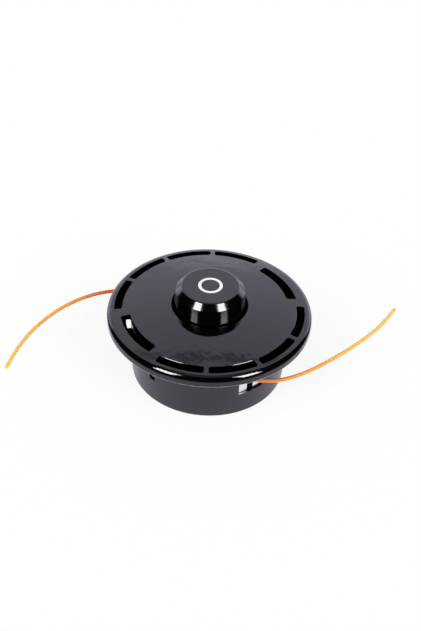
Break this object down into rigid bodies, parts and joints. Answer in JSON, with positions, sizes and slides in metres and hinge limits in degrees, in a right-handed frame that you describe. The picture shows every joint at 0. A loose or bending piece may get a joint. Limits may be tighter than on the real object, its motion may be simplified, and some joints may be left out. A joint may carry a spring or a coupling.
{
  "type": "bump feed trimmer head",
  "caption": "Round string trimmer head with a flanged cover, sprung bump knob, wound spool inside a cup housing, steel line exits and curved nylon line tails.",
  "frame": {"origin": "centre of the housing's foot, on the surface that the head stands on", "axes": "+Z along the spindle towards the bump knob, X through the two line exits"},
  "size_m": [0.1418, 0.2491, 0.0664],
  "materials": {
    "cover_black": "glossy black moulding",
    "knob_black": "polished black moulding",
    "housing_black": "satin black moulding",
    "spool_black": "plain moulding",
    "steel": "zinc plated steel",
    "eyelet_steel": "bright polished steel",
    "nylon_line": "clear orange nylon"
  },
  "bodies": {
    "base": {"housing": "housing_black", "eyelet_right": "eyelet_steel", "eyelet_left": "eyelet_steel", "drive_spindle": "steel", "spindle_washer": "steel", "spindle_circlip": "steel", "spring_seat_washer": "steel", "compression_spring": "steel", "cover_plate": "cover_black", "line_tail_right": "nylon_line", "line_tail_left": "nylon_line"},
    "plunger": {"thrust_washer": "steel"},
    "spool_assembly": {"spool": "spool_black", "winding_lower": "nylon_line", "winding_upper": "nylon_line", "bump_knob": "knob_black", "knob_screws": "steel"}
  },
  "joints": [
    {"name": "bump_slide", "type": "slide", "parent": "base", "child": "plunger", "axis": [0, 0, -1], "range_m": [0, 0.007], "stiffness_N_per_m": 1500, "springref_m": -0.01, "deforming": ["compression_spring"]},
    {"name": "spool_turn", "type": "hinge", "parent": "plunger", "child": "spool_assembly", "pos_m": [0, 0, 0], "axis": [0, 0, 1], "range_deg": [-28, 0]}
  ]
}
